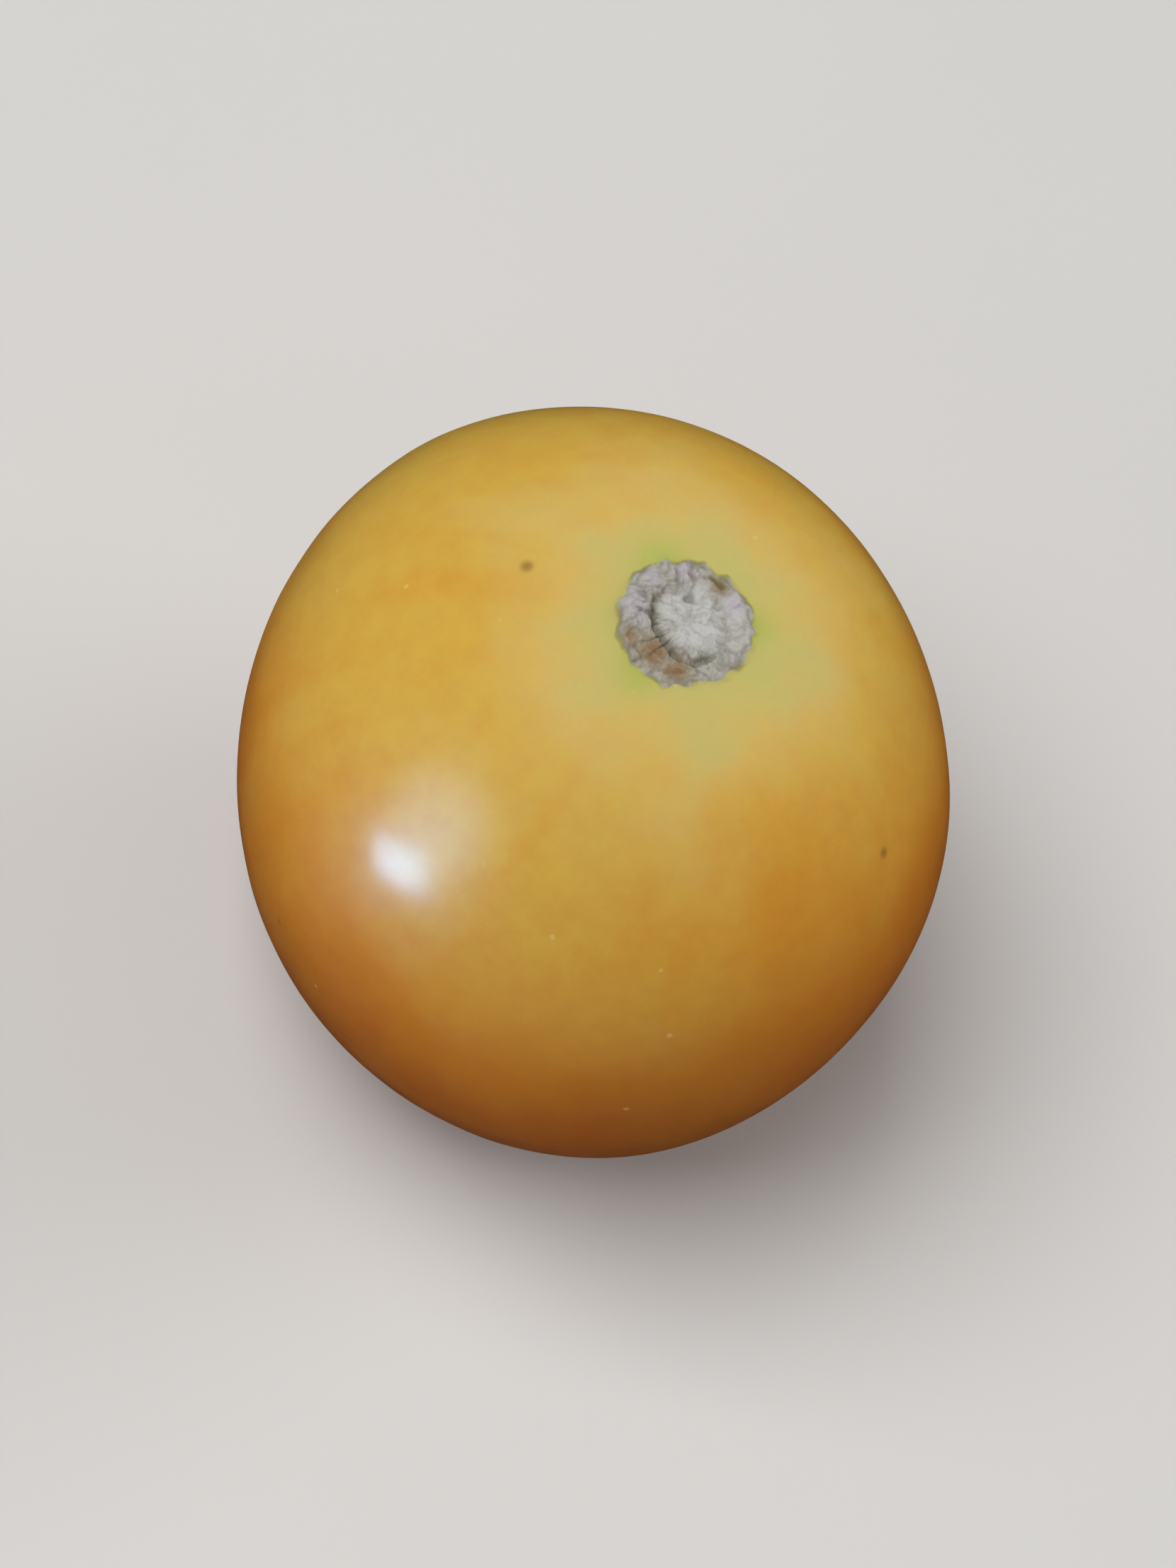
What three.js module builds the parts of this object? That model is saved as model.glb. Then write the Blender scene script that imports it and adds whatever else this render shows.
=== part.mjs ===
// A physalis berry (Cape gooseberry) out of its husk: one grown solid.
// Millimetres, +Z up along the berry's own axis, with the stem scar on top. The origin is the
// middle of the small flat at the blossom end that the berry rests on.

import * as THREE from "three";

// The body is an ellipsoid, a little broader one way than the other because the fruit
// has two seed chambers side by side.
const NARROW_WIDTH = 20.9; // along X
const BROAD_WIDTH = 22.3; // along Y
const UNCUT_HEIGHT = 22.0; // from end to end, before the two ends are flattened
const SHOULDER = 0.02; // how much fuller the stem half is than the blossom half, as a fraction

// Three and five faint lobes around the body, as fractions of its radius.
const BODY_LOBES = [
  { count: 3, height: 0.004, turn: 0.6 },
  { count: 5, height: 0.003, turn: 2.1 },
];

// The stem end: a shallow saucer with the corky scar in the middle of it.
const SAUCER_DEPTH = 0.6;
const SAUCER_RADIUS = 3.2; // where the saucer has lost about two thirds of its depth
const SCAR_RADIUS = 2.08;
const SCAR_EDGE_WIDTH = 0.36; // across which the cork drops to the skin
const SHORT_SIDE = { towards: -80, reach: 75, shortfall: 0.3 }; // where the scar isn't so wide
const SHELF_HEIGHT = 0.05; // of the cork between its lobes

// Soft lobes of cork where the husk was torn off, round a plug where the stalk was.
const CORK_LOBES = [
  { x: -1.38, y: 0.72, radius: 0.74, height: 0.24 },
  { x: -0.84, y: 1.28, radius: 0.72, height: 0.15 },
  { x: -0.1, y: 1.55, radius: 0.8, height: 0.1 },
  { x: 0.64, y: 1.42, radius: 0.85, height: 0.14 },
  { x: 1.48, y: 0.48, radius: 1.0, height: 0.12 },
  { x: 1.42, y: -0.42, radius: 1.05, height: 0.1 },
  { x: 1.0, y: -1.15, radius: 0.95, height: 0.11 },
  { x: 0.2, y: -1.62, radius: 0.5, height: 0.03 },
  { x: -0.5, y: -1.55, radius: 0.55, height: 0.07 },
  { x: -1.14, y: -1.1, radius: 0.5, height: 0.03 },
  { x: -1.62, y: -0.42, radius: 0.55, height: 0.05 },
];
const PLUG = { x: 0.3, y: 0.14, flatRadius: 0.67, radius: 1.12, height: 0.1 };

// The broken cleft round the plug: arcs, by their direction from the plug's middle in degrees.
const CLEFTS = [
  { towards: 176, reach: 54, depth: 0.15 },
  { towards: 224, reach: 33, depth: 0.12 },
  { towards: 268, reach: 33, depth: 0.17 },
  { towards: 128, reach: 33, depth: 0.07 },
];
const CLEFT_HALF_WIDTH = 0.2;

// The blossom end: the flat that the berry rests on, and the dot that the style left.
const FLAT_DEPTH = 0.25; // how far the flat is cut up into the ellipsoid
const STYLE_DOT = { radius: 0.45, depth: 0.12 };

// How finely the surface is cut into facets.
const SEGMENTS = 64;
const SCAR_RING_STEP = 0.15; // millimetres between rings in the scar
const FINE_RADIUS = 2.4; // the rings are that close out to here
const BODY_RING_STEP = THREE.MathUtils.degToRad(5);

const SKIN_COLOUR = 0xd9952e;

const meanRadius = (NARROW_WIDTH + BROAD_WIDTH) / 4;
const halfHeight = UNCUT_HEIGHT / 2;
const flatLevel = FLAT_DEPTH - halfHeight;

/** A smooth hump: 1 where distance is 0, and 0 from halfWidth outwards. */
function hump(distance, halfWidth) {
  const share = Math.min(1, Math.abs(distance) / halfWidth);
  return (1 - share * share) ** 2;
}

/** The angles from the stem end at which the rings lie, from the scar down to the flat. */
function ringAngles() {
  const angles = [];
  for (let radius = SCAR_RING_STEP; radius < FINE_RADIUS; radius += SCAR_RING_STEP) {
    angles.push(Math.asin(radius / meanRadius));
  }
  const first = angles.at(-1);
  const last = Math.acos(flatLevel / halfHeight);
  const steps = Math.round((last - first) / BODY_RING_STEP);
  for (let step = 1; step <= steps; step++) {
    angles.push(first + ((last - first) * step) / steps);
  }
  return angles;
}

/** The section of the round berry, from the blossom end up to the stem end. */
function sectionPoints() {
  const skin = ringAngles().map((angle) => {
    const level = Math.cos(angle);
    const radius = meanRadius * Math.sin(angle) * (1 + SHOULDER * level);
    return new THREE.Vector2(radius, halfHeight * level);
  });
  const top = new THREE.Vector2(0, halfHeight);
  const dotRim = new THREE.Vector2(STYLE_DOT.radius, flatLevel);
  const dotBottom = new THREE.Vector2(0, flatLevel + STYLE_DOT.depth);
  return [top, ...skin, dotRim, dotBottom].reverse();
}

/** How far one direction is from another, from -180 to 180 degrees. */
function turnBetween(direction, towards) {
  return THREE.MathUtils.euclideanModulo(direction - towards + 180, 360) - 180;
}

/** The height of the lobes of cork, which run into one another. */
function corkLobes(x, y) {
  const cubes = CORK_LOBES.map((lobe) => {
    return (lobe.height * hump(Math.hypot(x - lobe.x, y - lobe.y), lobe.radius)) ** 3;
  });
  return Math.cbrt(cubes.reduce((sum, cube) => sum + cube, 0));
}

/** The depth of the cleft between the plug and the lobes. */
function cleft(x, y) {
  const across = hump(Math.hypot(x - PLUG.x, y - PLUG.y) - PLUG.radius, CLEFT_HALF_WIDTH);
  const direction = THREE.MathUtils.radToDeg(Math.atan2(y - PLUG.y, x - PLUG.x));
  const along = CLEFTS.map(({ towards, reach, depth }) => {
    return depth * hump(turnBetween(direction, towards), reach);
  });
  return across * along.reduce((sum, depth) => sum + depth, 0);
}

/** The height of the plug, flat in the middle and falling to 0 at its edge. */
function plug(x, y) {
  const distance = Math.hypot(x - PLUG.x, y - PLUG.y);
  return PLUG.height * (1 - THREE.MathUtils.smoothstep(distance, PLUG.flatRadius, PLUG.radius));
}

/** The share of the cork's height at a point: 1 inside the scar, falling to 0 at its edge. */
function insideScar(x, y) {
  const direction = THREE.MathUtils.radToDeg(Math.atan2(y, x));
  const { towards, reach, shortfall } = SHORT_SIDE;
  const edge = SCAR_RADIUS - shortfall * hump(turnBetween(direction, towards), reach);
  return 1 - THREE.MathUtils.smoothstep(Math.hypot(x, y), edge - SCAR_EDGE_WIDTH, edge);
}

/** How far the stem end stands above the ellipsoid. */
function stemEndRelief(x, y) {
  const saucer = -SAUCER_DEPTH * Math.exp(-((Math.hypot(x, y) / SAUCER_RADIUS) ** 2));
  const cork = SHELF_HEIGHT + Math.max(corkLobes(x, y), plug(x, y)) - cleft(x, y);
  return saucer + insideScar(x, y) * cork;
}

/** The body's width at an angle about the axis, as a fraction of an ellipse's. */
function lobeFactor(around) {
  const swell = ({ count, height, turn }) => height * Math.cos(count * around + turn);
  return 1 + BODY_LOBES.reduce((sum, lobe) => sum + swell(lobe), 0);
}

/** Turn the round berry into the real one: its two widths, its lobes and its stem end. */
function shapeSkin(geometry) {
  const positions = geometry.attributes.position;
  const point = new THREE.Vector3();
  for (let index = 0; index < positions.count; index++) {
    point.fromBufferAttribute(positions, index);
    const around = Math.atan2(point.y, point.x);
    const radius = Math.hypot(point.x, point.y);
    const lobes = THREE.MathUtils.lerp(1, lobeFactor(around), Math.min(1, radius / meanRadius));
    if (point.z > 0) {
      point.z += stemEndRelief(point.x, point.y);
    }
    point.x *= (lobes * NARROW_WIDTH) / 2 / meanRadius;
    point.y *= (lobes * BROAD_WIDTH) / 2 / meanRadius;
    point.z -= flatLevel;
    positions.setXYZ(index, point.x, point.y, point.z);
  }
  geometry.computeVertexNormals();
  return geometry;
}

function makeBerry() {
  const round = new THREE.LatheGeometry(sectionPoints(), SEGMENTS).rotateX(Math.PI / 2);
  const material = new THREE.MeshStandardMaterial({
    color: SKIN_COLOUR,
    roughness: 0.35,
    metalness: 0,
  });
  const berry = new THREE.Mesh(shapeSkin(round), material);
  berry.name = "berry";
  return berry;
}

const group = new THREE.Group();
group.add(makeBerry());

export default group;
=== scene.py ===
"""A physalis berry out of its husk, on a plain pale floor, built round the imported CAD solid.

Everything is in metres and in the CAD's frame: +Z is the berry's own axis, with the stem scar on
top, and the floor is at height 0. The berry grew as one piece, so it is one mesh with one material.
An angle round the axis is 0 at +X and 90 degrees at +Y.
"""

import math

import bpy
import numpy as np
from mathutils import Matrix, Vector, noise


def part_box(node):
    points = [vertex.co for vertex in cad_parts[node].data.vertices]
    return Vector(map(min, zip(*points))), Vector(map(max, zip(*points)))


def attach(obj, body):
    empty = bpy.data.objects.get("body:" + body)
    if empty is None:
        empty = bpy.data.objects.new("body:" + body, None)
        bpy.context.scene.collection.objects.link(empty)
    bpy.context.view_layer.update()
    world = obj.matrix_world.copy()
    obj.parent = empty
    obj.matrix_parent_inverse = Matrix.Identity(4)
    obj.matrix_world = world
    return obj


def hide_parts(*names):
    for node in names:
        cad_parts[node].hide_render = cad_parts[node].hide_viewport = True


MM = 0.001
SEED_STEP = Vector((3.1, 7.7, 5.3))  # how far apart in the noise two seeds lie

# ---- The body, which has the CAD solid's shape ----
UNCUT_HEIGHT = 22.0 * MM  # from end to end, before the two ends are flattened
SHOULDER = 0.02  # how much fuller the stem half is than the blossom half, as a fraction
BODY_LOBES = [(3, 0.004, 0.6), (5, 0.003, 2.1)]  # count, height as a fraction of the radius, turn
SAUCER_DEPTH = 0.6 * MM
SAUCER_RADIUS = 3.2 * MM
FLAT_DEPTH = 0.25 * MM
STYLE_DOT_RADIUS = 0.45 * MM
STYLE_DOT_DEPTH = 0.12 * MM

# ---- How finely the mesh is cut ----
SEGMENTS = 384
FINE_RING_STEP = 0.03 * MM  # between rings in the scar
FINE_RADIUS = 2.55 * MM
BODY_RINGS = 134
FLAT_RINGS = 12

# ---- The stem scar ----
SCAR_RADIUS = 2.08 * MM
SHORT_SIDE = (-80, 75, 0.30 * MM)  # where its edge falls short: direction, reach either side, how far
EDGE_WAVES = [(0.05, 6), (0.03, 15)]  # height as a fraction of the radius, about how many in a turn
EDGE_RAGGEDNESS = (0.16 * MM, 0.35 * MM)  # how far noise moves the edge, and its size
EDGE_SLOPE = (0.30 * MM, 0.06 * MM)  # how far inside and outside the edge the cork slopes down
WARP = [(0.17 * MM, 0.80 * MM), (0.06 * MM, 0.24 * MM)]  # how far noise moves things, and its size
SHELF_HEIGHT = 0.05 * MM  # of the cork between its lobes
# Lobes of corky tissue round the plug: x, y, radius, height above the shelf.
CORK_LOBES = [
    (-1.38 * MM, 0.72 * MM, 0.74 * MM, 0.24 * MM),
    (-0.84 * MM, 1.28 * MM, 0.72 * MM, 0.15 * MM),
    (-0.10 * MM, 1.55 * MM, 0.80 * MM, 0.10 * MM),
    (0.64 * MM, 1.42 * MM, 0.85 * MM, 0.14 * MM),
    (1.48 * MM, 0.48 * MM, 1.00 * MM, 0.12 * MM),
    (1.42 * MM, -0.42 * MM, 1.05 * MM, 0.10 * MM),
    (1.00 * MM, -1.15 * MM, 0.95 * MM, 0.11 * MM),
    (0.20 * MM, -1.62 * MM, 0.50 * MM, 0.03 * MM),
    (-0.50 * MM, -1.55 * MM, 0.55 * MM, 0.07 * MM),
    (-1.14 * MM, -1.10 * MM, 0.50 * MM, 0.03 * MM),
    (-1.62 * MM, -0.42 * MM, 0.55 * MM, 0.05 * MM),
]
PLUG_CENTRE = (0.30 * MM, 0.14 * MM)
PLUG_RADIUS = 1.12 * MM
PLUG_FACING = (0.95, 0.30)  # x and y of the direction that the first of its four blunt sides faces
PLUG_FLAT_SHARE = 0.60  # of its radius
PLUG_HEIGHT = 0.10 * MM
# The broken cleft round the plug: arcs, each its direction from the plug's middle and its reach
# to either side in degrees, and its depth.
CLEFTS = [(176, 54, 0.15 * MM), (224, 33, 0.12 * MM), (268, 33, 0.19 * MM), (128, 33, 0.07 * MM)]
CLEFT_HALF_WIDTH = 0.17 * MM
# Pits left by the bundles of veins: x, y, radius, depth.
PITS = [
    (0.36 * MM, 0.84 * MM, 0.26 * MM, 0.16 * MM),
    (1.06 * MM, 0.45 * MM, 0.22 * MM, 0.05 * MM),
    (0.52 * MM, 0.40 * MM, 0.14 * MM, 0.04 * MM),
    (-0.12 * MM, 0.62 * MM, 0.15 * MM, 0.04 * MM),
    (1.34 * MM, 1.12 * MM, 0.36 * MM, 0.12 * MM),
]
CRACKS_ROUND = 15  # about how many waves the cracks' noise has round the scar
CRACK_LENGTH = 0.9 * MM
CRACK_HALF_WIDTH = 0.15  # as a height of that noise
CRACK_DEPTH = 0.05 * MM
CRACK_FREE = (0.75 * MM, 1.15 * MM)  # from the plug's middle: none up to here, and all from here on
CRACK_BREAKS = 0.7 * MM  # the size of the noise that breaks the cracks
CRACK_WANDER = (0.5, 0.40 * MM)  # how far noise shifts them, in their own waves, and its size
GRAIN_HEIGHT = 0.045 * MM
GRAIN_SIZES = (0.42 * MM, 0.17 * MM)  # of the coarse grain and the fine
COARSE_SHARE = 0.6
CREASE_HALF_WIDTH = 0.3  # as a height of the grain's noise
SMOOTH_GRAIN = 0.5  # how much of the grain is missing on the plug and on the smooth side
PUCKER = (2.6 * MM, 0.8 * MM, 0.02 * MM)  # of the skin round the scar: radius, half width, height
PUCKERS_ROUND = 22
# Patches, each x, y, radius: whole, pale cork; brown tissue; lilac cork, partly a painted highlight
# on the lobes' tops; and greener skin.
SMOOTH_SIDE = [(1.35 * MM, 0.0 * MM, 1.3 * MM)]
BROWN_PATCHES = [
    (-1.20 * MM, -0.62 * MM, 0.90 * MM),
    (-0.66 * MM, -1.22 * MM, 0.80 * MM),
    (-1.80 * MM, -0.10 * MM, 0.60 * MM),
    (1.36 * MM, 1.12 * MM, 0.55 * MM),
]
LILAC_HIGHLIGHT_PATCHES = [
    (-1.38 * MM, 0.76 * MM, 0.75 * MM),
    (1.62 * MM, 0.46 * MM, 0.60 * MM),
    (0.35 * MM, 1.60 * MM, 0.55 * MM),
    (-0.70 * MM, 1.55 * MM, 0.45 * MM),
]
GREEN_PATCHES = [
    (-0.10 * MM, 1.95 * MM, 1.30 * MM),
    (2.10 * MM, -0.20 * MM, 1.00 * MM),
    (-1.75 * MM, -1.20 * MM, 1.00 * MM),
]
SMOOTH_PALENESS = 0.8  # of the smooth side, where the plug's is 1
FULL_SHADE_DEPTH = 0.13 * MM  # at which the painted shade in a hollow is as dark as it gets
LIGHT_SHARE = 0.4  # how much of the tissue's height counts against that depth

# ---- The skin ----
SKIN_WAVES = [(0.06 * MM, 6.0 * MM), (0.016 * MM, 1.9 * MM)]  # faint unevenness: height, size
WAVES_FROM = 1.5 * MM  # above the floor; the waves fade out below, to leave the flat as it is
RIPENESS_AND_SHADE_AXIS = (-0.26, 0.23, 1.0)  # the skin is golden towards this side and deep orange opposite and towards the bottom: partly ripeness, partly painted shade on the side turned from the light
RIPENESS_AND_SHADE_WANDER = (2.1 * MM, 8 * MM)  # how far noise shifts the two bands below, and its size
# The levels along that axis between which one colour gives way to the next.
ORANGE_LEVELS = (20 * MM, 12.5 * MM)
DEEP_ORANGE_LEVELS = (16.5 * MM, 6 * MM)
STEM_WANDER = (1.4 * MM, 3 * MM)  # the same for the distances from the stem below
# The distances from the stem between which the paler colours come in.
PALE_DISTANCES = (8.0 * MM, 2.0 * MM)
YELLOW_GREEN_DISTANCES = (4.6 * MM, 1.6 * MM)
MOTTLE_SIZE = 0.7 * MM
VEIN_WIDTH = 0.16  # in radians round the berry, about
VEIN_SCALE = 30.0  # radians to a metre of height, which makes the veins about 5 mm long
DOT_SPACING = 1.5 * MM
DOT_RADIUS = (0.075, 0.035)  # where a dot's colour starts and is full, as fractions of the spacing
CELLS_WITHOUT_DOT = 0.45  # as a fraction of them all
# Brown specks: the angle round the axis and from the stem end in degrees, and the radius.
SPECKS = [
    (147, 26, 0.30 * MM),
    (-48, 48, 0.26 * MM),
    (-118, 66, 0.10 * MM),
    (28, 81, 0.14 * MM),
    (95, 104, 0.12 * MM),
    (-165, 92, 0.16 * MM),
    (-20, 118, 0.11 * MM),
]
SPECK_CORE = 0.2  # the part of a speck's radius within which it is darkest

# ---- Gloss, glow and fine relief ----
SKIN_ROUGHNESS = (0.33, 0.41)
GLOSS_PATCH_SIZE = 2.2 * MM
CORK_ROUGHNESS = 0.85
SKIN_COAT = 0.5
COAT_ROUGHNESS = 0.19
SKIN_GLOW = 0.6  # how much of the light goes in and comes out again beside where it went in
CORK_GLOW = 0.15
GLOW_REACH = 2.0 * MM  # how far the red light spreads in there
GLOW_COLOUR = (1.0, 0.36, 0.09)  # how far each colour spreads, as a fraction of that
BUMP_HEIGHT = 0.012 * MM
BUMP_STRENGTH = 0.7
CORK_BUMPS = (0.10 * MM, 1.6)  # size, and height as a multiple of BUMP_HEIGHT
SKIN_BUMPS = (1.1 * MM, 1.2)
PLUG_MOTTLE_SIZE = 0.45 * MM
BROWN_MOTTLE_SIZE = 0.40 * MM
RIM_BREAK_SIZE = 0.8 * MM

# ---- Colours, and the most that one laid over another hides of it ----
GOLD = (0.63, 0.405, 0.06)
ORANGE = (0.62, 0.245, 0.015)
DEEP_ORANGE = (0.47, 0.110, 0.006)
DEEP_ORANGE_SHARE = 0.8
MOTTLE_SHARE = 0.14
VEIN_SHARE = 0.22
PALE_GOLD = (0.62, 0.475, 0.16)
PALE_GOLD_SHARE = 0.85
YELLOW_GREEN = (0.49, 0.475, 0.155)
YELLOW_GREEN_SHARE = 0.75
FRESH_GREEN = (0.41, 0.45, 0.09)
FRESH_GREEN_SHARE = 0.62
DOT = (0.75, 0.55, 0.20)
DOT_SHARE = 0.6
SPECK = (0.16, 0.06, 0.015)
SPECK_SHARE = 0.55
CORK_GREY = (0.22, 0.21, 0.17)
CORK_PALE = (0.42, 0.40, 0.36)
PLUG_PALE = (0.47, 0.465, 0.45)
CORK_LILAC_HIGHLIGHT = (0.44, 0.40, 0.46)
LILAC_HIGHLIGHT_SHARE = 0.6
CORK_OLIVE = (0.30, 0.26, 0.16)
OLIVE_SHARE = 0.65
BROWN = (0.21, 0.115, 0.045)
OLIVE_DARK = (0.11, 0.10, 0.05)
# How far painted shade darkens the cracks and the hollows.
CRACK_SHADE_SHARE = 0.45
HOLLOW_SHADE_SHARE = 0.55
RIM_SHARE = 0.5
FLOOR_COLOUR = (0.62, 0.607, 0.59)
WINDOW_COLOUR = (0.29, 0.62, 1.0)
WORLD_COLOUR = (0.80, 0.84, 0.90)

# ---- Camera, stage and lights ----
CAMERA_AZIMUTH = math.radians(-43)
CAMERA_ELEVATION = math.radians(61)
CAMERA_ROLL = math.radians(32)  # the berry's axis leans this far clockwise in the picture
CAMERA_DISTANCE = 118 * MM
CAMERA_LENS = 91.0
FLOOR_SEGMENTS = 128
FLOOR_RADIUS = 0.45
COVE_RADIUS = 0.45  # of the curve by which the floor rises into the wall all round
COVE_STEPS = 24
FLOOR_MOTTLE = (0.96, 60 * MM)  # how dark the floor's darker patches are, and their size
WINDOW_SIZE = (26 * MM, 17 * MM)
WINDOW_TILT = math.radians(42)
GLOW_SPREAD = math.radians(45)  # a narrow one, so that the glow is brightest in its middle
WORLD_STRENGTH = 0.015


# ---- Shapes of curves, and noise ----


def hump(distance, half_width):
    """1 where distance is 0, falling smoothly to 0 at half_width."""
    share = np.clip(np.abs(distance) / half_width, 0, 1)
    return (1 - share**2) ** 2


def ramp(value, start, end):
    """0 up to start, 1 from end on, and smooth between them."""
    share = np.clip((value - start) / (end - start), 0, 1)
    return share * share * (3 - 2 * share)


def turn_from(around, degrees):
    """How far each angle is from a direction, in degrees from -180 to 180."""
    return (np.degrees(around) - degrees + 180) % 360 - 180


def distance_to(plane, x, y):
    return np.hypot(plane[..., 0] - x, plane[..., 1] - y)


def noise_at(points, size, seed):
    """Smooth noise from about -1 to 1 at each of the points, with features of about that size."""
    shift = SEED_STEP * seed
    values = [noise.noise(Vector(point) / size + shift) for point in points.reshape(-1, 3)]
    return np.array(values).reshape(points.shape[:-1])


def circle_in_noise(around, count):
    """x and y of a circle on which noise of size 1 has about count waves in a turn."""
    reach = count / (2 * math.pi)
    return np.cos(around) * reach, np.sin(around) * reach


def ring_noise(around, count, seed):
    """Smooth noise that depends only on the angle, with about count waves in a turn."""
    circle = np.stack([*circle_in_noise(around, count), 0 * around], axis=-1)
    return noise_at(circle, 1.0, seed)


def creased(plane, size, seed):
    """From -1 at the bottoms of narrow creases to 1 on the swellings between them."""
    return 2 * np.minimum(np.abs(noise_at(plane, size, seed)) / CREASE_HALF_WIDTH, 1) - 1


# ---- The stem scar ----


def warped(plane):
    """The same points moved a little by noise, so that whatever is laid out on them is uneven."""
    shifts = [
        sum(reach * noise_at(plane, size, seed + index) for index, (reach, size) in enumerate(WARP))
        for seed in (41, 44)
    ]
    return plane + np.stack([*shifts, 0 * shifts[0]], axis=-1)


def spots(plane, places):
    """How far inside the nearest of some round spots each point lies, from 0 to 1."""
    inside = np.zeros(plane.shape[:-1])
    for x, y, reach in places:
        inside = np.maximum(inside, hump(distance_to(plane, x, y), reach))
    return inside


def inside_scar(radius, around, plane):
    """1 on the cork, falling to 0 across its ragged edge."""
    towards, reach, shortfall = SHORT_SIDE
    waves = sum(
        height * ring_noise(around, count, seed)
        for seed, (height, count) in enumerate(EDGE_WAVES, start=1)
    )
    edge = SCAR_RADIUS * (1 + waves) - shortfall * hump(turn_from(around, towards), reach)
    raggedness, size = EDGE_RAGGEDNESS
    inwards, outwards = EDGE_SLOPE
    ragged = raggedness * noise_at(plane, size, seed=6)
    return 1 - ramp(radius + ragged, edge - inwards, edge + outwards)


def cork_lobes(plane):
    """The height of soft lobes that run into one another."""
    total = sum(
        (height * hump(distance_to(plane, x, y), reach)) ** 3 for x, y, reach, height in CORK_LOBES
    )
    return np.cbrt(total)


def plug_share(plane):
    """The distance from the plug's middle as a share of its radius, for a bluntly square plug."""
    x, y = (plane[..., index] - PLUG_CENTRE[index] for index in (0, 1))
    cosine, sine = PLUG_FACING
    sides = np.abs(cosine * x + sine * y) ** 3 + np.abs(cosine * y - sine * x) ** 3
    return np.cbrt(sides) / PLUG_RADIUS


def plug_top(plane):
    """1 on the plug of pale tissue where the stalk was, falling to 0 round its edge."""
    return 1 - ramp(plug_share(plane), PLUG_FLAT_SHARE, 1.0)


def clefts(plane):
    """The depth of the broken cleft between the plug and the lobes."""
    around = np.arctan2(plane[..., 1] - PLUG_CENTRE[1], plane[..., 0] - PLUG_CENTRE[0])
    across = hump((plug_share(plane) - 1.0) * PLUG_RADIUS, CLEFT_HALF_WIDTH)
    along = sum(depth * hump(turn_from(around, towards), reach) for towards, reach, depth in CLEFTS)
    return across * along


def pits(plane):
    return sum(depth * hump(distance_to(plane, x, y), reach) for x, y, reach, depth in PITS)


def cracks(radius, around, plane):
    """Broken cracks that run outwards through the cork, from 0 to 1 at their bottoms."""
    streaks = np.stack([*circle_in_noise(around, CRACKS_ROUND), radius / CRACK_LENGTH], axis=-1)
    shift, size = CRACK_WANDER
    streaks = streaks + shift * noise_at(plane, size, seed=9)[..., None]
    outside_plug = ramp(distance_to(plane, *PLUG_CENTRE), *CRACK_FREE)
    broken = ramp(noise_at(plane, CRACK_BREAKS, seed=10), -0.35, 0.25)
    return hump(noise_at(streaks, 1.0, seed=8), CRACK_HALF_WIDTH) * broken * outside_plug


def cork_grain(plane, uneven):
    """The cork's coarse and fine grain together, from -1 to 1."""
    coarse, fine = GRAIN_SIZES
    return COARSE_SHARE * creased(uneven, coarse, 3) + (1 - COARSE_SHARE) * creased(plane, fine, 4)


def stem_end(radius, around):
    """The stem end's height above the ellipsoid, and the share of each tissue there."""
    plane = np.stack([radius * np.cos(around), radius * np.sin(around), 0 * radius], axis=-1)
    uneven = warped(plane)
    inside = inside_scar(radius, around, plane)
    top = plug_top(uneven)
    smooth = spots(uneven, SMOOTH_SIDE)
    low = clefts(uneven) + pits(uneven)
    split = cracks(radius, around, plane) * (1 - smooth)
    grain = cork_grain(plane, uneven)
    grain_height = GRAIN_HEIGHT * (1 - SMOOTH_GRAIN * np.maximum(top, smooth))
    tissue = SHELF_HEIGHT + np.maximum(cork_lobes(uneven), PLUG_HEIGHT * top)
    tissue = tissue + grain_height * grain - CRACK_DEPTH * split - low
    pucker_radius, pucker_width, pucker_height = PUCKER
    pucker = hump(radius - pucker_radius, pucker_width) * ring_noise(around, PUCKERS_ROUND, seed=5)
    saucer = -SAUCER_DEPTH * np.exp(-((radius / SAUCER_RADIUS) ** 2))
    height = saucer + pucker_height * pucker + inside * tissue
    masks = {
        "cork": inside,
        "plug": inside * np.maximum(top, SMOOTH_PALENESS * smooth),
        "lilac": inside * spots(plane, LILAC_HIGHLIGHT_PATCHES),
        "brown": inside * spots(plane, BROWN_PATCHES),
        # Painted shade in the clefts and pits, less where the tissue stands high.
        "hollow_shade": inside * ramp(low - LIGHT_SHARE * tissue, 0.0, FULL_SHADE_DEPTH),
        "crack": inside * split,
        # The grain also sets the cork's colour: painted shade in its creases.
        "grain": grain,
        "green": spots(uneven, GREEN_PATCHES),
    }
    return height, masks


# ---- The berry's mesh ----


def berry_widths():
    """The CAD solid's two widths, along X and along Y."""
    low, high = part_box("berry")
    return high[0] - low[0], high[1] - low[1]


def ring_section(mean_radius):
    """The radius and height of every ring of the round berry, from the stem end down."""
    half_height = UNCUT_HEIGHT / 2
    flat_level = FLAT_DEPTH - half_height
    fine = np.arcsin(np.arange(FINE_RING_STEP, FINE_RADIUS, FINE_RING_STEP) / mean_radius)
    last = math.acos(flat_level / half_height)
    body = np.linspace(fine[-1], last, BODY_RINGS + 1)[1:]
    angles = np.concatenate([fine, body])
    radii = mean_radius * np.sin(angles) * (1 + SHOULDER * np.cos(angles))
    heights = half_height * np.cos(angles)
    flat_radii = np.linspace(radii[-1], 0, FLAT_RINGS + 2)[1:-1]
    flat_heights = flat_level + STYLE_DOT_DEPTH * hump(flat_radii, STYLE_DOT_RADIUS)
    radii = np.concatenate([radii, flat_radii])
    heights = np.concatenate([heights, flat_heights]) - flat_level
    return radii, heights


def body_lobes(around):
    """The body's width at an angle about the axis, as a fraction of an ellipse's."""
    return 1 + sum(height * np.cos(count * around + turn) for count, height, turn in BODY_LOBES)


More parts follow.
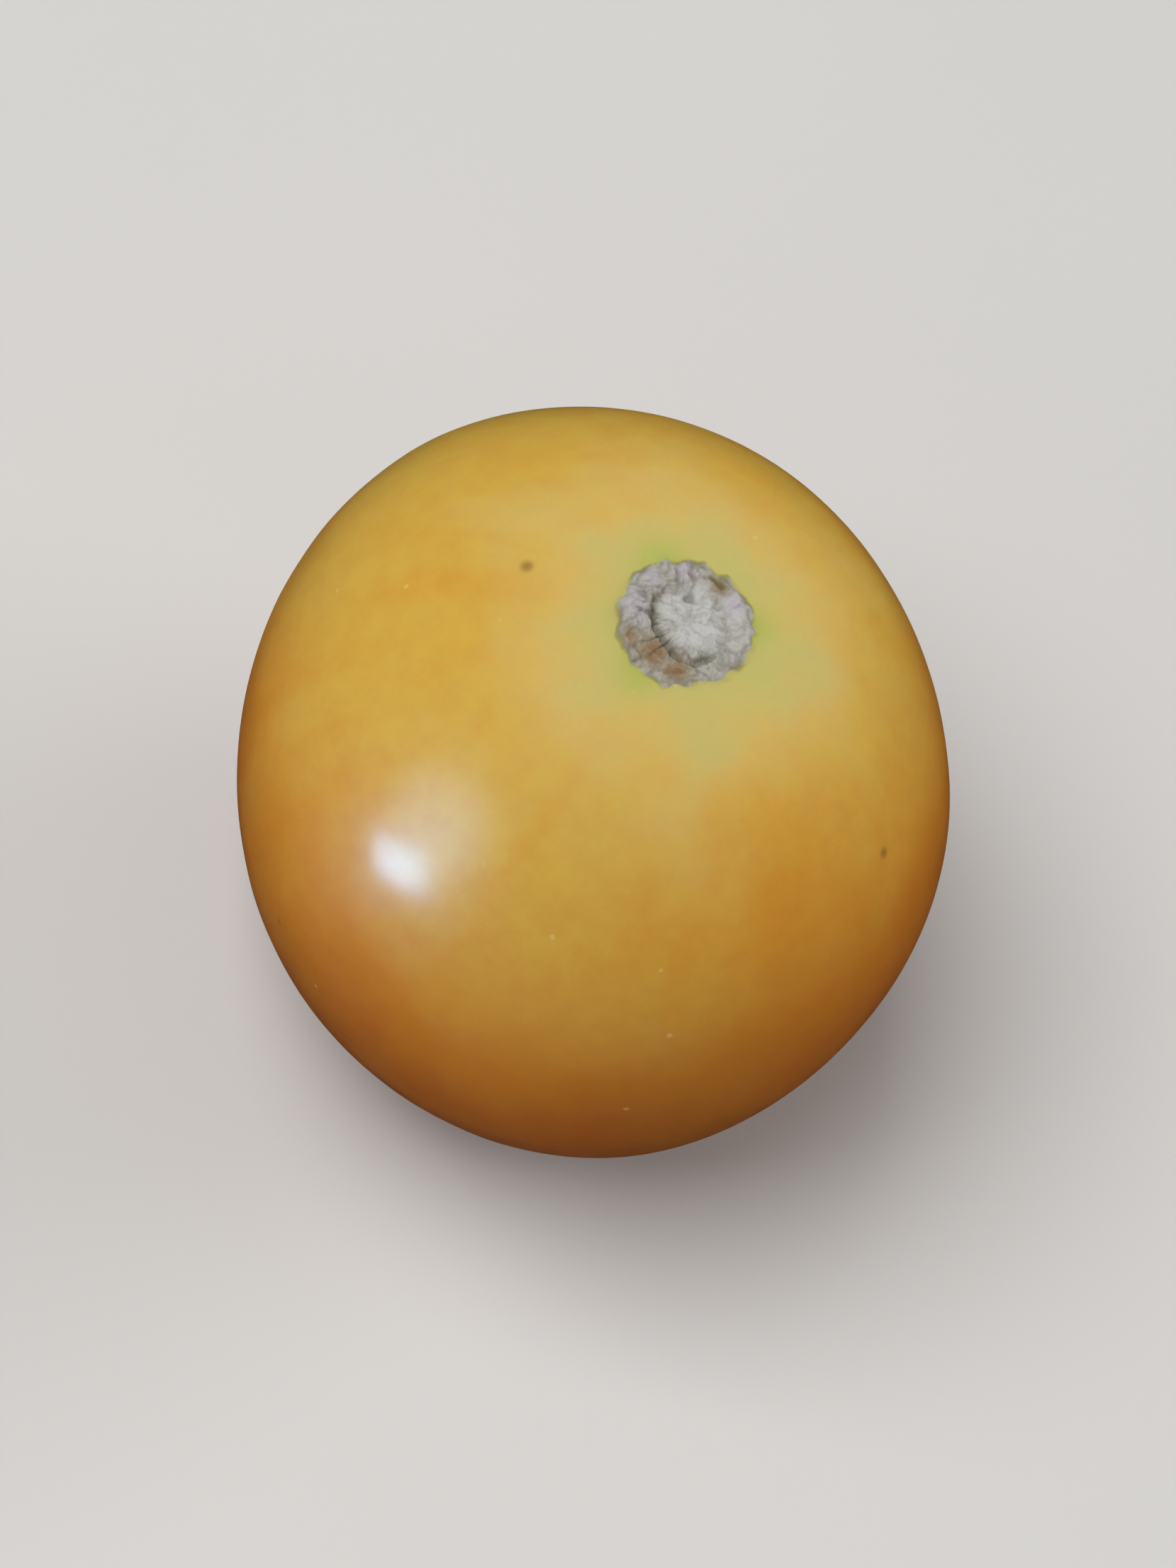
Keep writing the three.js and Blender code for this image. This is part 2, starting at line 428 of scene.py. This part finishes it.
def shaped(radius, around, height):
    """The round berry's vertices moved out to its two widths and its lobes."""
    narrow, broad = berry_widths()
    mean_radius = (narrow + broad) / 4
    lobes = 1 + (body_lobes(around) - 1) * np.clip(radius / mean_radius, 0, 1)
    x = radius * np.cos(around) * lobes * narrow / 2 / mean_radius
    y = radius * np.sin(around) * lobes * broad / 2 / mean_radius
    return np.stack([x, y, height], axis=-1)


def with_skin_waves(points):
    """The vertices moved in or out by the skin's faint unevenness."""
    outward = points - np.array([0, 0, UNCUT_HEIGHT / 2])
    outward /= np.linalg.norm(outward, axis=-1, keepdims=True)
    waves = sum(
        height * noise_at(points, size, seed)
        for seed, (height, size) in enumerate(SKIN_WAVES, start=31)
    )
    free = ramp(points[..., 2], 0.0, WAVES_FROM)
    return points + outward * (waves * free)[..., None]


def berry_points():
    """Every vertex of the berry by ring and segment, and the masks there."""
    mean_radius = sum(berry_widths()) / 4
    radii, heights = ring_section(mean_radius)
    around = np.linspace(0, 2 * math.pi, SEGMENTS, endpoint=False)
    radius, around = np.meshgrid(radii, around, indexing="ij")
    height = np.repeat(heights[:, None], SEGMENTS, axis=1)
    top_rings = radii.argmax()
    relief, masks = stem_end(radius[:top_rings], around[:top_rings])
    height[:top_rings] += relief
    points = with_skin_waves(shaped(radius, around, height))
    below = len(radii) - top_rings
    masks = {name: np.pad(mask, ((0, below), (0, 0))) for name, mask in masks.items()}
    # The way from the stem: it goes on growing below the widest ring.
    stem_half = np.arange(len(radii))[:, None] < top_rings
    masks["radius"] = np.where(stem_half, radius, 2 * mean_radius - radius)
    return points, masks


def quads_between_rings(rings, segments):
    """The faces of a surface whose vertices are rings of the same number of segments."""
    faces = []
    for ring in range(rings - 1):
        first, second = ring * segments, (ring + 1) * segments
        for here in range(segments):
            after = (here + 1) % segments
            faces.append((first + here, second + here, second + after, first + after))
    return faces


def add_smooth_mesh(name, vertices, faces, material):
    mesh = bpy.data.meshes.new(name)
    mesh.from_pydata(vertices, [], faces)
    mesh.polygons.foreach_set("use_smooth", [True] * len(faces))
    mesh.materials.append(material)
    owner = bpy.data.objects.new(name, mesh)
    bpy.context.scene.collection.objects.link(owner)
    return owner


def add_berry():
    """One closed mesh: rings of quads, closed by a fan of triangles at each end."""
    points, masks = berry_points()
    rings = len(points)
    ends = [points[0].mean(axis=0), points[-1].mean(axis=0)]
    vertices = np.concatenate([points.reshape(-1, 3), ends])
    top, bottom = rings * SEGMENTS, rings * SEGMENTS + 1
    faces = quads_between_rings(rings, SEGMENTS)
    last = (rings - 1) * SEGMENTS
    for here in range(SEGMENTS):
        after = (here + 1) % SEGMENTS
        faces.append((top, here, after))
        faces.append((bottom, last + after, last + here))
    berry = add_smooth_mesh("berry_fruit", vertices.tolist(), faces, berry_material())
    for name, mask in masks.items():
        values = np.concatenate([mask.ravel(), [mask[0].mean(), mask[-1].mean()]])
        berry.data.attributes.new(name, "FLOAT", "POINT").data.foreach_set("value", values)
    berry.data.update()
    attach(berry, "root")
    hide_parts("berry")


# ---- The berry's material ----


class Material:
    """A node material. Each helper from node on adds nodes and returns the last one's output."""

    def __init__(self, name):
        self.material = bpy.data.materials.new(name)
        self.material.use_nodes = True
        self.tree = self.material.node_tree
        self.shader = self.tree.nodes["Principled BSDF"]

    def set(self, **inputs):
        """Feed the shader's own sockets."""
        for name, value in inputs.items():
            self.feed(self.shader.inputs[name.replace("_", " ")], value)

    def feed(self, socket, value):
        """Link another node's output to a socket, or give the socket a value."""
        if isinstance(value, bpy.types.NodeSocket):
            self.tree.links.new(value, socket)
        elif isinstance(value, tuple) and len(value) == 3 and socket.type == "RGBA":
            socket.default_value = (*value, 1)
        else:
            socket.default_value = value

    def node(self, kind, inputs=(), output=0, **settings):
        node = self.tree.nodes.new(kind)
        for name, value in settings.items():
            setattr(node, name, value)
        for name, value in dict(inputs).items():
            self.feed(node.inputs[name], value)
        return node.outputs[output]

    def mask(self, name):
        """One of the masks that the mesh carries."""
        return self.node("ShaderNodeAttribute", output="Fac", attribute_name=name)

    def place(self):
        return self.node("ShaderNodeTexCoord", output="Object")

    def noise(self, size, detail=3.0, place=None, roughness=0.5):
        inputs = {
            "Vector": place or self.place(),
            "Scale": 1 / size,
            "Detail": detail,
            "Roughness": roughness,
        }
        return self.node("ShaderNodeTexNoise", inputs)

    def spread(self, value, low, high, to_low=0.0, to_high=1.0):
        """value from low to high, taken smoothly to the range from to_low to to_high."""
        inputs = {
            "Value": value,
            "From Min": low,
            "From Max": high,
            "To Min": to_low,
            "To Max": to_high,
        }
        return self.node("ShaderNodeMapRange", inputs, interpolation_type="SMOOTHSTEP")

    def maths(self, operation, first, second=0.0):
        return self.node("ShaderNodeMath", {0: first, 1: second}, operation=operation)

    def times(self, first, second):
        return self.maths("MULTIPLY", first, second)

    def vector_maths(self, operation, first, second):
        """A vector operation whose result is one number."""
        inputs = {0: first, 1: second}
        return self.node("ShaderNodeVectorMath", inputs, output="Value", operation=operation)

    def mix(self, share, first, second):
        """One colour giving way to another as share goes from 0 to 1."""
        node = self.tree.nodes.new("ShaderNodeMix")
        node.data_type = "RGBA"
        self.feed(node.inputs["Factor"], share)
        colours = [socket for socket in node.inputs if socket.type == "RGBA"]
        self.feed(colours[0], first)
        self.feed(colours[1], second)
        return next(socket for socket in node.outputs if socket.type == "RGBA")


def ripe_and_shaded_colour(made):
    """Golden, deeper orange towards the blossom end and away from the lit side (partly ripeness,
    partly painted shade), finely mottled and veined.
    """
    reach, size = RIPENESS_AND_SHADE_WANDER
    # Painted shade: along this axis the colour deepens away from the lit side and towards the bottom,
    # as well as with ripeness.
    along = made.vector_maths("DOT_PRODUCT", made.place(), RIPENESS_AND_SHADE_AXIS)
    level = made.maths("ADD", along, made.spread(made.noise(size), 0.25, 0.75, -reach, reach))
    colour = made.mix(made.spread(level, *ORANGE_LEVELS), GOLD, ORANGE)
    deep = made.spread(level, *DEEP_ORANGE_LEVELS, to_high=DEEP_ORANGE_SHARE)
    colour = made.mix(deep, colour, DEEP_ORANGE)
    mottle = made.noise(MOTTLE_SIZE, 4.0, roughness=0.6)
    colour = made.mix(made.spread(mottle, 0.3, 0.7, to_high=MOTTLE_SHARE), colour, DEEP_ORANGE)
    return made.mix(made.times(vein_share(made), VEIN_SHARE), colour, ORANGE)


def skin_colour(made):
    """The ripe colour with its painted shade, paler and greener round the stem, with pale dots and
    brown specks.
    """
    reach, size = STEM_WANDER
    wander = made.spread(made.noise(size, 2.0), 0.2, 0.8, -reach, reach)
    distance = made.maths("ADD", made.mask("radius"), wander)
    pale = made.spread(distance, *PALE_DISTANCES, to_high=PALE_GOLD_SHARE)
    yellow_green = made.spread(distance, *YELLOW_GREEN_DISTANCES, to_high=YELLOW_GREEN_SHARE)
    colour = made.mix(pale, ripe_and_shaded_colour(made), PALE_GOLD)
    colour = made.mix(yellow_green, colour, YELLOW_GREEN)
    colour = made.mix(made.times(made.mask("green"), FRESH_GREEN_SHARE), colour, FRESH_GREEN)
    colour = made.mix(made.times(dot_share(made), DOT_SHARE), colour, DOT)
    return made.mix(speck_share(made), colour, SPECK)


def vein_share(made):
    """Faint veins that run from the stem to the blossom end."""
    parts = made.node("ShaderNodeSeparateXYZ", {"Vector": made.place()}).node
    angle = made.maths("ARCTAN2", parts.outputs["Y"], parts.outputs["X"])
    inputs = {
        "X": made.maths("COSINE", angle),
        "Y": made.maths("SINE", angle),
        "Z": made.times(parts.outputs["Z"], VEIN_SCALE),
    }
    along = made.node("ShaderNodeCombineXYZ", inputs)
    return made.spread(made.noise(VEIN_WIDTH, place=along), 0.45, 0.75)


def dot_share(made):
    """Tiny pale dots, one in some of the cells that the skin is split into."""
    inputs = {"Vector": made.place(), "Scale": 1 / DOT_SPACING}
    cells = made.node("ShaderNodeTexVoronoi", inputs).node
    near = made.spread(cells.outputs["Distance"], *DOT_RADIUS)
    lot = made.node("ShaderNodeSeparateColor", {"Color": cells.outputs["Color"]}, output="Red")
    return made.times(near, made.maths("GREATER_THAN", lot, CELLS_WITHOUT_DOT))


def skin_point(around, down):
    """The ellipsoid's point at an angle round the axis and an angle from the stem end."""
    narrow, broad = berry_widths()
    x = narrow / 2 * math.sin(down) * math.cos(around)
    y = broad / 2 * math.sin(down) * math.sin(around)
    return x, y, UNCUT_HEIGHT / 2 * (1 + math.cos(down)) - FLAT_DEPTH


def speck_share(made):
    """Small brown specks with soft edges."""
    total = 0.0
    for around, down, reach in SPECKS:
        middle = skin_point(math.radians(around), math.radians(down))
        gap = made.vector_maths("DISTANCE", made.place(), middle)
        speck = made.spread(gap, reach, SPECK_CORE * reach, to_high=SPECK_SHARE)
        total = made.maths("ADD", total, speck)
    return made.maths("MINIMUM", total, 1.0)


def scar_colour(made):
    """Grey cork, paler on the plug and lilac in places, with brown tissue; painted shade darkens the
    grain's creases, the cracks and the hollows, and the lilac is partly a painted highlight.
    """
    # Painted shade: the cork is greyer in the grain's creases and paler on its swellings, and the
    # plug's paleness shows less in the creases.
    grain = made.spread(made.mask("grain"), -0.7, 1.0, 0.25, 0.8)
    colour = made.mix(grain, CORK_GREY, CORK_PALE)
    mottle = made.spread(made.noise(PLUG_MOTTLE_SIZE, roughness=0.6), 0.35, 0.55, 0.25, 1.0)
    mottle = made.times(mottle, made.spread(grain, 0.25, 0.7, 0.65, 1.0))
    colour = made.mix(made.times(made.mask("plug"), mottle), colour, PLUG_PALE)
    # Partly a painted highlight: pale lilac on the tops of the highest lobes.
    colour = made.mix(made.times(made.mask("lilac"), LILAC_HIGHLIGHT_SHARE), colour, CORK_LILAC_HIGHLIGHT)
    brown = made.mask("brown")
    colour = made.mix(made.times(brown, OLIVE_SHARE), colour, CORK_OLIVE)
    patchy = made.noise(BROWN_MOTTLE_SIZE, 4.0, roughness=0.65)
    patchy = made.spread(patchy, 0.30, 0.60, 0.25, 0.95)
    colour = made.mix(made.times(made.maths("POWER", brown, 1.6), patchy), colour, BROWN)
    # Painted shade along the cracks.
    colour = made.mix(made.times(made.mask("crack"), CRACK_SHADE_SHARE), colour, OLIVE_DARK)
    # Painted shade in the hollows of the clefts and pits.
    return made.mix(made.times(made.mask("hollow_shade"), HOLLOW_SHADE_SHARE), colour, OLIVE_DARK)


def rim_share(made, cork):
    """The broken dark line where the torn cork meets the skin."""
    line = made.times(made.spread(cork, 0.0, 0.25), made.spread(cork, 0.85, 0.35))
    return made.times(line, made.spread(made.noise(RIM_BREAK_SIZE), 0.42, 0.62, to_high=RIM_SHARE))


def berry_relief(made, cork):
    """The finest relief: a close grain on the cork and a soft, broad one on the skin."""
    fine_size, fine_height = CORK_BUMPS
    broad_size, broad_height = SKIN_BUMPS
    fine = made.times(made.noise(fine_size), made.spread(cork, 0.0, 1.0, 0.0, fine_height))
    broad = made.times(made.noise(broad_size, 2.0), made.spread(cork, 0.0, 1.0, broad_height, 0.0))
    return made.maths("ADD", fine, broad)


def berry_material():
    """Waxy, faintly translucent skin, and dull cork in the scar."""
    made = Material("berry_skin")
    soft_cork = made.mask("cork")
    cork = made.spread(soft_cork, 0.25, 0.55)
    colour = made.mix(cork, skin_colour(made), scar_colour(made))
    made.set(Base_Color=made.mix(rim_share(made, soft_cork), colour, OLIVE_DARK))
    gloss = made.spread(made.noise(GLOSS_PATCH_SIZE), 0.3, 0.7, *SKIN_ROUGHNESS)
    made.set(Roughness=made.spread(cork, 0.0, 1.0, gloss, CORK_ROUGHNESS))
    made.set(Coat_Weight=made.spread(cork, 0.0, 1.0, SKIN_COAT, 0.0))
    made.set(Coat_Roughness=COAT_ROUGHNESS, Specular_IOR_Level=0.5)
    made.set(Subsurface_Weight=made.spread(cork, 0.0, 1.0, SKIN_GLOW, CORK_GLOW))
    made.set(Subsurface_Radius=GLOW_COLOUR, Subsurface_Scale=GLOW_REACH)
    relief = berry_relief(made, cork)
    inputs = {"Height": relief, "Distance": BUMP_HEIGHT, "Strength": BUMP_STRENGTH}
    made.set(Normal=made.node("ShaderNodeBump", inputs))
    return made.material


# ---- Stage, camera and lights ----


def floor_material():
    made = Material("floor_matt")
    darkness, size = FLOOR_MOTTLE
    darker = tuple(darkness * part for part in FLOOR_COLOUR)
    tone = made.spread(made.noise(size, 2.0), 0.3, 0.7)
    made.set(Base_Color=made.mix(tone, darker, FLOOR_COLOUR), Roughness=1.0, Specular_IOR_Level=0.0)
    return made.material


def add_floor():
    """A round pale floor that curves up into a wall, so that no horizon shows in a low view."""
    section = [(FLOOR_RADIUS, 0.0)]
    for turn in np.linspace(0, math.pi / 2, COVE_STEPS + 1)[1:]:
        radius = FLOOR_RADIUS + COVE_RADIUS * math.sin(turn)
        section.append((radius, COVE_RADIUS * (1 - math.cos(turn))))
    around = np.linspace(0, 2 * math.pi, FLOOR_SEGMENTS, endpoint=False)
    vertices = [(r * math.cos(a), r * math.sin(a), z) for r, z in section for a in around]
    faces = [tuple(range(FLOOR_SEGMENTS)), *quads_between_rings(len(section), FLOOR_SEGMENTS)]
    floor = add_smooth_mesh("floor", vertices, faces, floor_material())
    floor.visible_glossy = False


def direction_from(azimuth, elevation):
    """From the berry to something whose azimuth, from -Y towards +X, and elevation are in radians."""
    flat = math.cos(elevation)
    return Vector((math.sin(azimuth) * flat, -math.cos(azimuth) * flat, math.sin(elevation)))


def berry_middle():
    low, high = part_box("berry")
    return Vector((0, 0, (low[2] + high[2]) / 2))


def add_camera():
    """Looks down on the berry from the photograph's side, turned so that the scar is upper right."""
    back = direction_from(CAMERA_AZIMUTH, CAMERA_ELEVATION)
    level = Vector((math.cos(CAMERA_AZIMUTH), math.sin(CAMERA_AZIMUTH), 0))
    upright = back.cross(level)
    up = upright * math.cos(CAMERA_ROLL) - level * math.sin(CAMERA_ROLL)
    right = up.cross(back)
    camera = bpy.data.objects.new("camera", bpy.data.cameras.new("camera"))
    camera.data.lens = CAMERA_LENS
    camera.data.clip_start = 1 * MM
    turn = Matrix((right, up, back)).transposed().to_4x4()
    camera.matrix_world = Matrix.Translation(berry_middle() + back * CAMERA_DISTANCE) @ turn
    bpy.context.scene.collection.objects.link(camera)
    bpy.context.scene.camera = camera


def add_light(name, size, watts, azimuth, elevation, distance):
    """A soft light that points at the berry and that the camera doesn't see. Angles in degrees."""
    light = bpy.data.lights.new(name, "AREA")
    light.size = size
    light.energy = watts
    holder = bpy.data.objects.new(name, light)
    holder.visible_camera = False
    bpy.context.scene.collection.objects.link(holder)
    back = direction_from(math.radians(azimuth), math.radians(elevation))
    holder.location = berry_middle() + back * distance
    holder.rotation_euler = back.to_track_quat("Z", "Y").to_euler()
    return holder


def add_highlight_lights():
    """What the skin's gloss shows: a small near window, tilted, in the middle of a soft glow."""
    width, height = WINDOW_SIZE
    window = add_light("window", width, watts=0.031, azimuth=-77, elevation=1, distance=0.08)
    window.data.shape = "RECTANGLE"
    window.data.size_y = height
    window.rotation_euler.rotate_axis("Z", WINDOW_TILT)
    glow = add_light("glow", size=0.17, watts=0.028, azimuth=-79, elevation=16, distance=0.27)
    glow.data.shape = "DISK"
    glow.data.spread = GLOW_SPREAD
    for light in (window, glow):
        light.data.color = WINDOW_COLOUR
        light.visible_diffuse = False


def add_shading_lights():
    """What lights the matt colours: a sky to the left, a fill to the right and a ceiling."""
    sky = add_light("sky", size=0.38, watts=3.15, azimuth=-104, elevation=62, distance=0.55)
    fill = add_light("fill", size=0.40, watts=1.7, azimuth=90, elevation=24, distance=0.6)
    ceiling = add_light("ceiling", size=1.8, watts=2.0, azimuth=0, elevation=90, distance=1.1)
    for light in (sky, fill, ceiling):
        light.visible_glossy = False


def set_world():
    world = bpy.data.worlds.new("world")
    world.use_nodes = True
    background = world.node_tree.nodes["Background"]
    background.inputs["Color"].default_value = (*WORLD_COLOUR, 1)
    background.inputs["Strength"].default_value = WORLD_STRENGTH
    bpy.context.scene.world = world


bpy.context.scene.view_settings.view_transform = "Standard"
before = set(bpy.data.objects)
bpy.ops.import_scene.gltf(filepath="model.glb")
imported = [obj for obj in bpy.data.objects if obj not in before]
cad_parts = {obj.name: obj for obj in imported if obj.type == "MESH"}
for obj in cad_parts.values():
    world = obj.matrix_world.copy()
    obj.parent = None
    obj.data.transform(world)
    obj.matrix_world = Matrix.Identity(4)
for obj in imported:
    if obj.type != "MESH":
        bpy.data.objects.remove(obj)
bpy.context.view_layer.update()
add_camera()
add_berry()
add_floor()
add_highlight_lights()
add_shading_lights()
set_world()
